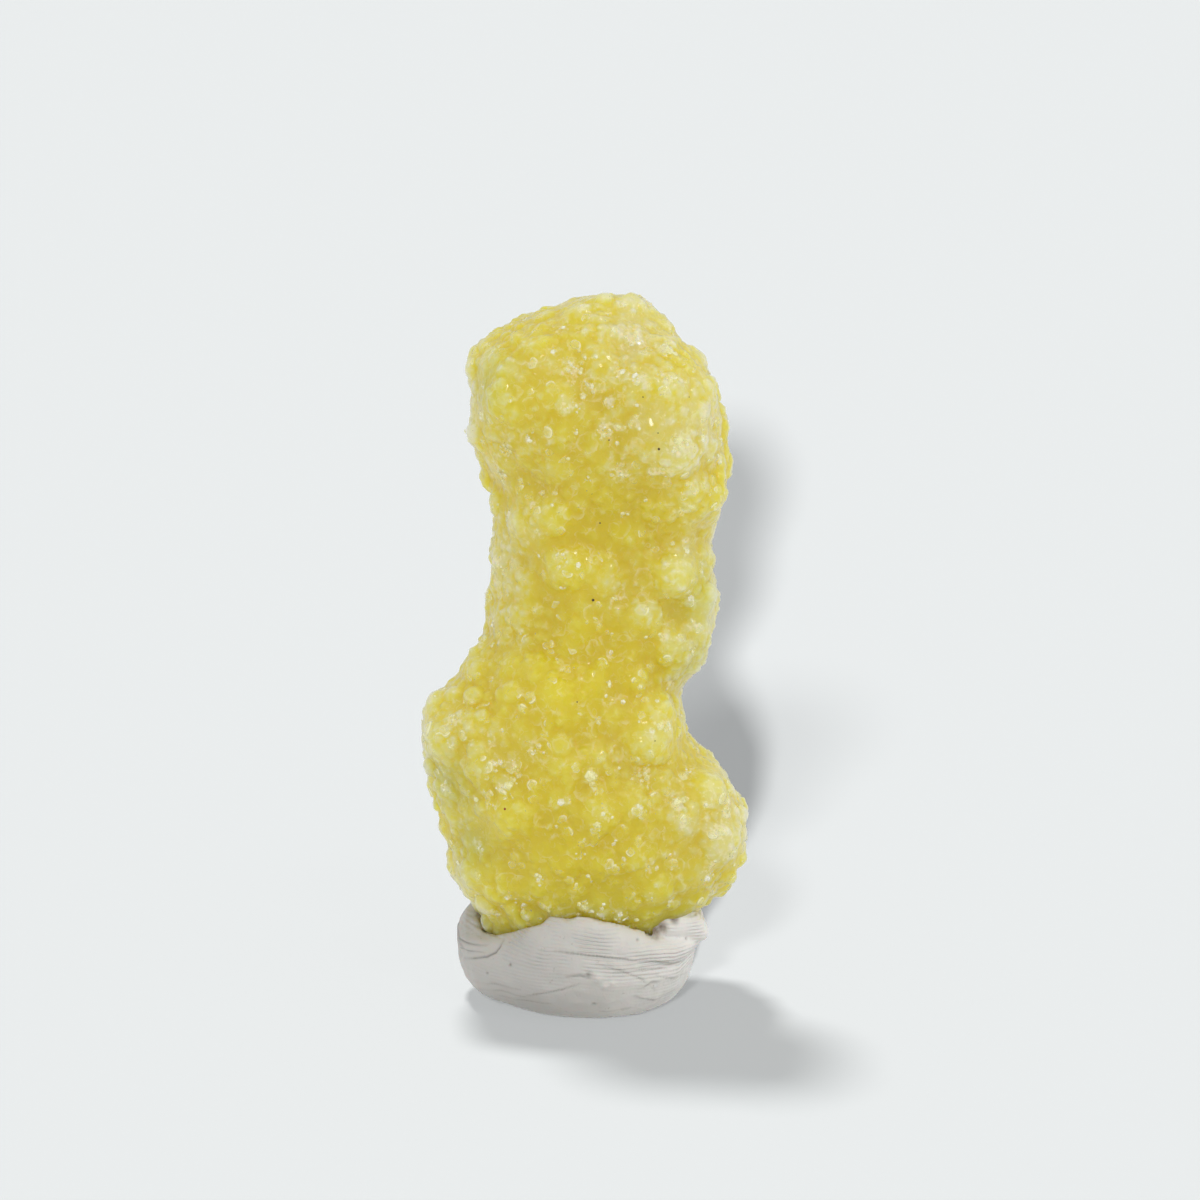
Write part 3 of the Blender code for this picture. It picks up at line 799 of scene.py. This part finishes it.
class Nodes:
    """A material's node tree, with short calls for its nodes and links."""

    def __init__(self, name):
        self.material = bpy.data.materials.new(name)
        self.material.use_nodes = True
        self.tree = self.material.node_tree
        self.shader = self.tree.nodes["Principled BSDF"]

    def add(self, kind, **settings):
        node = self.tree.nodes.new(kind)
        for key, value in settings.items():
            setattr(node, key, value)
        return node

    def join(self, source, target):
        self.tree.links.new(source, target)

    def place(self):
        return self.add("ShaderNodeTexCoord").outputs["Object"]

    def attribute(self, name):
        return self.add("ShaderNodeAttribute", attribute_name=name).outputs["Fac"]

    def noise(self, scale, detail=2.0, shift=0.0):
        """Noise whose grain is about 1/scale, in mm."""
        node = self.add("ShaderNodeTexNoise", noise_dimensions="3D")
        node.inputs["Scale"].default_value = scale / MM
        node.inputs["Detail"].default_value = detail
        moved = self.add("ShaderNodeVectorMath", operation="ADD")
        self.join(self.place(), moved.inputs[0])
        moved.inputs[1].default_value = (shift * MM,) * 3
        self.join(moved.outputs[0], node.inputs["Vector"])
        return node.outputs["Fac"]

    def ramp(self, value, *stops):
        """value turned into colours or greys, by (position, colour) stops."""
        node = self.add("ShaderNodeValToRGB")
        ramp = node.color_ramp
        while len(ramp.elements) < len(stops):
            ramp.elements.new(0.5)
        for element, (position, colour) in zip(ramp.elements, stops):
            element.position = position
            element.color = (*colour, 1.0) if isinstance(colour, tuple) else (colour,) * 3 + (1.0,)
        self.join(value, node.inputs["Fac"])
        return node.outputs["Color"]

    def blend(self, factor, a, b, mode="MIX"):
        """Colour a with b laid over it as much as factor says."""
        node = self.add("ShaderNodeMix", data_type="RGBA", blend_type=mode)
        for value, socket in zip((factor, a, b), (node.inputs[0], node.inputs[6], node.inputs[7])):
            if isinstance(value, (float, int)):
                socket.default_value = value
            elif isinstance(value, tuple):
                socket.default_value = (*value, 1.0)
            else:
                self.join(value, socket)
        return node.outputs[2]

    def maths(self, operation, *values):
        node = self.add("ShaderNodeMath", operation=operation)
        for value, socket in zip(values, node.inputs):
            if isinstance(value, (float, int)):
                socket.default_value = value
            else:
                self.join(value, socket)
        return node.outputs[0]

    def weighed(self, *terms):
        """The sum of values, each times its weight."""
        total = 0.0
        for value, weight in terms:
            total = self.maths("MULTIPLY_ADD", value, weight, total)
        return total

    def warped(self, scale, reach):
        """The place, moved about by up to half of reach mm, another way every 1/scale mm."""
        node = self.add("ShaderNodeTexNoise")
        node.inputs["Scale"].default_value = scale / MM
        node.inputs["Detail"].default_value = 2.0
        self.join(self.place(), node.inputs["Vector"])
        moved = self.add("ShaderNodeVectorMath", operation="MULTIPLY_ADD")
        self.join(node.outputs["Color"], moved.inputs[0])
        moved.inputs[1].default_value = (reach * MM,) * 3
        self.join(self.place(), moved.inputs[2])
        return moved.outputs[0]

    def cells(self, scale, place):
        """How far the middle of the nearest cell is, and its colour. Cells are about 1/scale mm wide."""
        node = self.add("ShaderNodeTexVoronoi")
        node.inputs["Scale"].default_value = scale / MM
        self.join(place, node.inputs["Vector"])
        return node.outputs["Distance"], node.outputs["Color"]

    def leant(self, colour, lean):
        """The surface's normal, leaning as the colour says."""
        off = self.add("ShaderNodeVectorMath", operation="SUBTRACT")
        self.join(colour, off.inputs[0])
        off.inputs[1].default_value = (0.5, 0.5, 0.5)
        moved = self.add("ShaderNodeVectorMath", operation="MULTIPLY_ADD")
        self.join(off.outputs[0], moved.inputs[0])
        moved.inputs[1].default_value = (lean, lean, lean)
        self.join(self.add("ShaderNodeNewGeometry").outputs["Normal"], moved.inputs[2])
        unit = self.add("ShaderNodeVectorMath", operation="NORMALIZE")
        self.join(moved.outputs[0], unit.inputs[0])
        return unit.outputs[0]

    def bump(self, height, strength, distance, below=None):
        node = self.add("ShaderNodeBump")
        node.inputs["Strength"].default_value = strength
        node.inputs["Distance"].default_value = distance * MM
        self.join(height, node.inputs["Height"])
        if below is not None:
            self.join(below, node.inputs["Normal"])
        return node.outputs["Normal"]

    def set(self, **values):
        for key, value in values.items():
            self.shader.inputs[key.replace("_", " ")].default_value = value


def srgb(*parts):
    """Linear colour from 0-255 display values."""
    parts = (part / 255 for part in parts)
    return tuple(((p + 0.055) / 1.055) ** 2.4 if p > 0.04 else p / 12.92 for p in parts)


def brucite_material():
    m = Nodes("brucite")
    lump, knob, rise, frost_and_glint, pale, golden_shade, cloud = (
        m.attribute(name) for name in ("lump", "knob", "rise", "frost_and_glint", "pale", "golden_shade", "cloud")
    )
    place = m.warped(1.1, 0.9)
    fine = m.noise(0.75, 4.0)
    grain = m.noise(1.9, 4.0, shift=17.0)
    # Painted light and shade: crests and the pale zones are paler and the golden zones deeper, standing in
    # for light shining through the mineral; the frosted places add pale that is partly painted glints;
    # cloud, fine and grain are its own patchy tone
    tone = m.weighed(
        (lump, 0.6), (knob, 0.5), (rise, 0.4), (frost_and_glint, 0.22), (pale, 0.42), (golden_shade, -0.38),
        (cloud, 0.4), (fine, 0.48), (grain, 0.3),
    )
    tone = m.maths("SUBTRACT", tone, 1.11)
    colour = m.ramp(
        tone,
        (0.0, srgb(222, 201, 26)), (0.34, srgb(223, 205, 64)), (0.62, srgb(222, 210, 124)),
        (1.0, srgb(227, 219, 182)),
    )
    # Bodies inside the mineral: round, of many sizes, each hiding part of the next, with pale outlines
    lines = 0.0
    for scale, shown, weight in ((0.42, 0.45, 1.0), (0.8, 0.6, 0.8), (1.3, 0.5, 0.5)):
        distance, tint = m.cells(scale, place)
        size = m.ramp(tint, (0.0, 0.3), (1.0, 0.75))
        inside = m.maths("DIVIDE", distance, size)
        outline = m.ramp(inside, (0.7, 0.0), (0.93, 1.0), (1.0, 0.0))
        outline = m.maths("MULTIPLY", outline, m.ramp(tint, (shown, 0.0), (shown + 0.15, weight)))
        lines = m.maths("MAXIMUM", lines, outline)
        middle = m.ramp(inside, (0.2, 1.0), (0.9, 0.0))
        deep = m.maths("MULTIPLY", middle, m.ramp(tint, (shown, 0.0), (1.0, 0.5)))
        colour = m.blend(deep, colour, srgb(221, 203, 18))
    broken = m.ramp(fine, (0.42, 0.1), (0.6, 1.0))
    lines = m.maths("MULTIPLY", lines, broken)
    colour = m.blend(m.maths("MULTIPLY", lines, 0.5), colour, srgb(242, 234, 184))
    # Pale flecks, most of them where it is frosted and on crests: partly pale crystals, partly painted
    # glints
    chance = m.weighed(
        (grain, 1.0), (frost_and_glint, 0.24), (cloud, 0.13), (knob, 0.15), (golden_shade, -0.12), (pale, 0.04),
    )
    colour = m.blend(m.ramp(chance, (0.8, 0.0), (0.95, 0.6)), colour, srgb(247, 235, 186))
    # Painted shade: the green zones are darkened and turned greener
    green_shade = m.maths("MULTIPLY", m.attribute("green_shade"), 0.8)
    colour = m.blend(green_shade, colour, (0.82, 0.88, 0.84), mode="MULTIPLY")
    m.join(colour, m.shader.inputs["Base Color"])
    m.set(
        Roughness=0.35,
        IOR=1.45,
        Subsurface_Weight=1.0,
        Subsurface_Radius=(1.0, 0.85, 0.35),
        Subsurface_Scale=13.0 * MM,
        Coat_Weight=0.4,
        Coat_Roughness=0.1,
        Sheen_Weight=0.42,
        Sheen_Roughness=0.35,
        Sheen_Tint=(1.0, 0.98, 0.9, 1.0),
    )
    m.join(m.bump(grain, 0.5, 0.25), m.shader.inputs["Normal"])
    m.join(m.leant(m.cells(1.6, place)[1], 0.9), m.shader.inputs["Coat Normal"])
    return m.material


def shell_material():
    m = Nodes("brucite_shells")
    crown, cloudy = m.attribute("crown"), m.attribute("cloudy")
    broken = m.noise(0.6, 3.0, shift=5.0)
    # Painted reflection: an opaque pale band round each shell's shoulder stands in for the bright rim that
    # a clear crystal reflects; the milky patches are its own
    painted_rim = m.ramp(crown, (0.6, 0.0), (0.75, 1.0), (0.95, 0.2))
    painted_rim = m.maths("MULTIPLY", painted_rim, m.ramp(broken, (0.36, 0.1), (0.52, 0.8)))
    milk = m.ramp(broken, (0.45, 0.0), (0.6, 0.7))
    milk = m.maths("MULTIPLY", m.ramp(cloudy, (0.3, 0.0), (1.0, 1.0)), milk)
    pale = m.maths("MAXIMUM", painted_rim, milk)
    colour = m.ramp(pale, (0.0, srgb(250, 242, 170)), (1.0, srgb(255, 252, 220)))
    m.join(colour, m.shader.inputs["Base Color"])
    m.join(pale, m.shader.inputs["Alpha"])
    m.set(Roughness=0.3, IOR=1.3, Coat_Weight=0.5, Coat_Roughness=0.08)
    return m.material


def grit_material():
    m = Nodes("brucite_grits")
    cloudy = m.attribute("cloudy")
    # Near white: partly the crystals' own colour, partly painted glints
    colour = m.ramp(m.noise(0.4), (0.4, srgb(244, 238, 170)), (0.6, srgb(254, 250, 226)))
    m.join(colour, m.shader.inputs["Base Color"])
    solid = m.ramp(m.noise(1.5, 2.0), (0.4, 0.45), (0.6, 1.0))
    solid = m.maths("MULTIPLY", m.ramp(cloudy, (0.0, 0.5), (0.8, 1.0)), solid)
    m.join(solid, m.shader.inputs["Alpha"])
    m.set(Roughness=0.25, IOR=1.57, Coat_Weight=1.0, Coat_Roughness=0.06)
    return m.material


def putty_material():
    m = Nodes("putty")
    crease, stain = m.attribute("crease"), m.attribute("stain")
    split = m.add("ShaderNodeSeparateXYZ")
    m.join(m.place(), split.inputs[0])
    mottle = m.noise(0.5, 4.0)
    # Painted light and shade: grey at the left, and paler at the right and up along the rim, as the light
    # falls; the broad and fine noise is the putty's own patchy tone
    broad = m.noise(0.1, 1.0, shift=5.0)
    light = m.weighed(
        (split.outputs["X"], 0.05 / MM), (split.outputs["Z"], 0.02 / MM), (broad, 0.8), (mottle, 0.25),
    )
    light = m.maths("SUBTRACT", light, 0.2)
    colour = m.ramp(
        light, (0.0, srgb(196, 191, 184)), (0.45, srgb(210, 205, 197)), (1.0, srgb(243, 238, 230)),
    )
    # Painted shade: darker in the creases, the crack and the pits
    colour = m.blend(m.maths("MULTIPLY", crease, 0.5), colour, srgb(112, 102, 88))
    stained = m.ramp(m.noise(1.6, 4.0, shift=3.0), (0.35, 0.5), (0.55, 1.0))
    colour = m.blend(m.maths("MULTIPLY", stain, stained), colour, srgb(116, 84, 38))
    grime = m.ramp(m.noise(1.8, 2.0), (0.68, 0.0), (0.76, 1.0))
    colour = m.blend(m.maths("MULTIPLY", grime, 0.35), colour, srgb(150, 138, 120))
    m.join(colour, m.shader.inputs["Base Color"])
    m.set(Roughness=0.55, IOR=1.45, Subsurface_Weight=0.2, Subsurface_Scale=0.8 * MM)
    # Finger ridges: RIDGE_PITCH apart, level, bent and broken up by broad noise, deepest at the top right
    turn = 2 * math.pi / (RIDGE_PITCH * MM)
    bent = m.noise(0.12, 1.0)
    phase = m.weighed((split.outputs["Z"], turn), (split.outputs["X"], 0.08 * turn), (bent, 16.0))
    high = m.weighed((split.outputs["Z"], 0.08 / MM), (split.outputs["X"], 0.012 / MM))
    high = m.ramp(high, (0.5, 0.15), (0.66, 1.0))
    shown = m.ramp(m.noise(0.22, 2.0, shift=9.0), (0.38, 0.0), (0.58, 1.0))
    ridges = m.maths("MULTIPLY", m.maths("SINE", phase), m.maths("MULTIPLY", shown, high))
    fine = m.bump(m.noise(3.0, 4.0), 0.35, 0.12)
    m.join(m.bump(ridges, 0.9, 0.07, fine), m.shader.inputs["Normal"])
    return m.material


def plain(name, colour, roughness=0.9):
    m = Nodes(name)
    m.set(Roughness=roughness)
    m.shader.inputs["Base Color"].default_value = (*colour, 1.0)
    return m.material


# ---- stage ---------------------------------------------------------------------------------------


def stage():
    corners = np.array([(-1, -1, 0), (1, -1, 0), (1, 1, 0), (-1, 1, 0)]) * FLOOR_REACH
    floor = new_object("floor", corners, [(0, 1, 2, 3)])
    material = plain("floor", srgb(69, 70, 70))
    shader = material.node_tree.nodes["Principled BSDF"]
    shader.inputs["Specular IOR Level"].default_value = 0.0
    floor.data.materials.append(material)
    return floor


def aim(obj, target):
    """Points obj's -Z at target."""
    obj.rotation_euler = (Vector(target) - obj.location).to_track_quat("-Z", "Y").to_euler()


def sun(name, azimuth, elevation, angle, strength):
    light = bpy.data.lights.new(name, "SUN")
    light.angle = math.radians(angle)
    light.energy = strength
    obj = link(bpy.data.objects.new(name, light))
    a, e = math.radians(azimuth), math.radians(elevation)
    obj.location = Vector((math.sin(a) * math.cos(e), -math.cos(a) * math.cos(e), math.sin(e)))
    aim(obj, (0, 0, 0))
    return obj


def lights(floor):
    for about in SUNS:
        sun(*about)
    receivers = bpy.data.collections.new("floor_only")
    receivers.objects.link(floor)
    for about in FLOOR_SUNS:
        sun(*about).light_linking.receiver_collection = receivers
    world = bpy.data.worlds.new("studio")
    world.use_nodes = True
    background = world.node_tree.nodes["Background"]
    background.inputs["Color"].default_value = SKY_COLOUR
    background.inputs["Strength"].default_value = SKY_STRENGTH
    bpy.context.scene.world = world


def camera():
    data = bpy.data.cameras.new("camera")
    data.lens = CAMERA_LENS
    data.sensor_width = CAMERA_SENSOR
    data.clip_end = 100.0
    obj = link(bpy.data.objects.new("camera", data))
    e = math.radians(CAMERA_ELEVATION)
    back = Vector((0, -math.cos(e), math.sin(e)))
    obj.location = (Vector(CAMERA_TARGET) + back * CAMERA_DISTANCE) * MM
    aim(obj, Vector(CAMERA_TARGET) * MM)
    bpy.context.scene.camera = obj


def dress(piece, material):
    """Gives a piece its material and says what carries it."""
    piece.data.materials.clear()
    piece.data.materials.append(material)
    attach(piece, "root")


def main():
    rng = np.random.default_rng(7)
    skin, beads, grits, frost_and_glint = brucite_skin(rng)
    dress(skin, brucite_material())
    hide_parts("brucite")
    dress(shells("brucite_shells", beads, frost_and_glint, rng, **SHELLS), shell_material())
    dress(shells("brucite_grits", grits, frost_and_glint, rng, **GRITS), grit_material())
    dress(specks("red_speck", skin, RED_SPECKS), plain("red_speck", srgb(150, 34, 8), 0.5))
    dress(specks("dark_specks", skin, DARK_SPECKS), plain("dark_specks", srgb(72, 52, 20), 0.5))
    lump = putty_lump(skin, rng)
    dress(lump, putty_material())
    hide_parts("putty_base")
    lights(stage())
    camera()
    bpy.context.scene.view_settings.view_transform = "Standard"


main()
